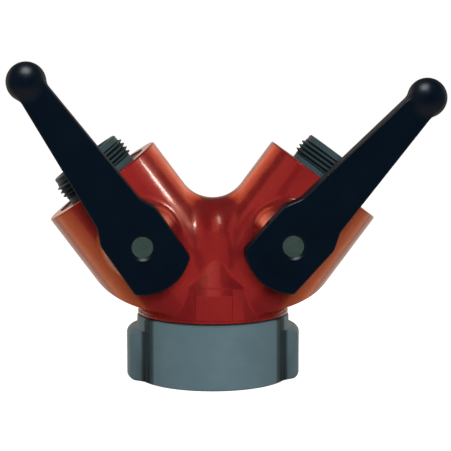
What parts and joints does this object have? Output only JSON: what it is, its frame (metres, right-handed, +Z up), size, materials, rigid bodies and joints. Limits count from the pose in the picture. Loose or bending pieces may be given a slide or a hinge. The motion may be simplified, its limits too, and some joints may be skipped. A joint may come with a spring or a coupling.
{
  "type": "wye valve",
  "caption": "Forked hose fitting in red cast metal: a swivel inlet below feeds threaded outlets on slanted branches, each opened and closed by a ball valve with a black lever.",
  "frame": {"origin": "centre of the swivel nut's lower face, where the inlet axis meets it", "axes": "+Z up along the inlet, X along the line of the branches, levers on the -Y side"},
  "size_m": [0.2594, 0.1199, 0.2003],
  "materials": {
    "red_casting": "gloss",
    "grey_fitting": "satin",
    "black_lever": "satin",
    "steel": "satin",
    "ball_plating": "polished",
    "seat_plastic": "satin",
    "seal_rubber": "matte"
  },
  "bodies": {
    "casting": {"adapter_seal_left": "seal_rubber", "adapter_seal_right": "seal_rubber", "inner_backing_left": "seal_rubber", "inner_backing_right": "seal_rubber", "inner_seat_left": "seat_plastic", "inner_seat_right": "seat_plastic", "outer_backing_left": "seal_rubber", "outer_backing_right": "seal_rubber", "outer_seat_left": "seat_plastic", "outer_seat_right": "seat_plastic", "outlet_adapter_left": "grey_fitting", "outlet_adapter_right": "grey_fitting", "stop_pin_left": "steel", "stop_pin_right": "steel", "thrust_washer_left": "seat_plastic", "thrust_washer_right": "seat_plastic", "wye_body": "red_casting"},
    "left_valve": {"ball_left": "ball_plating", "stem_left": "steel", "stem_packing_left": "seal_rubber", "handle_left": "black_lever", "handle_pin_left": "steel"},
    "right_valve": {"ball_right": "ball_plating", "stem_right": "steel", "stem_packing_right": "seal_rubber", "handle_right": "black_lever", "handle_pin_right": "steel"},
    "swivel": {"swivel_nut": "grey_fitting", "inlet_gasket": "seal_rubber", "retaining_ring": "steel"}
  },
  "joints": [
    {"name": "left_lever", "type": "hinge", "parent": "casting", "child": "left_valve", "pos_m": [-0.0446, 0, 0.09125], "axis": [0, -1, 0], "range_deg": [0, 90]},
    {"name": "right_lever", "type": "hinge", "parent": "casting", "child": "right_valve", "pos_m": [0.0446, 0, 0.09125], "axis": [0, 1, 0], "range_deg": [-7.7, 82.3]},
    {"name": "inlet_swivel", "type": "hinge", "parent": "casting", "child": "swivel", "pos_m": [0, 0, 0], "axis": [0, 0, 1], "continuous": true}
  ]
}
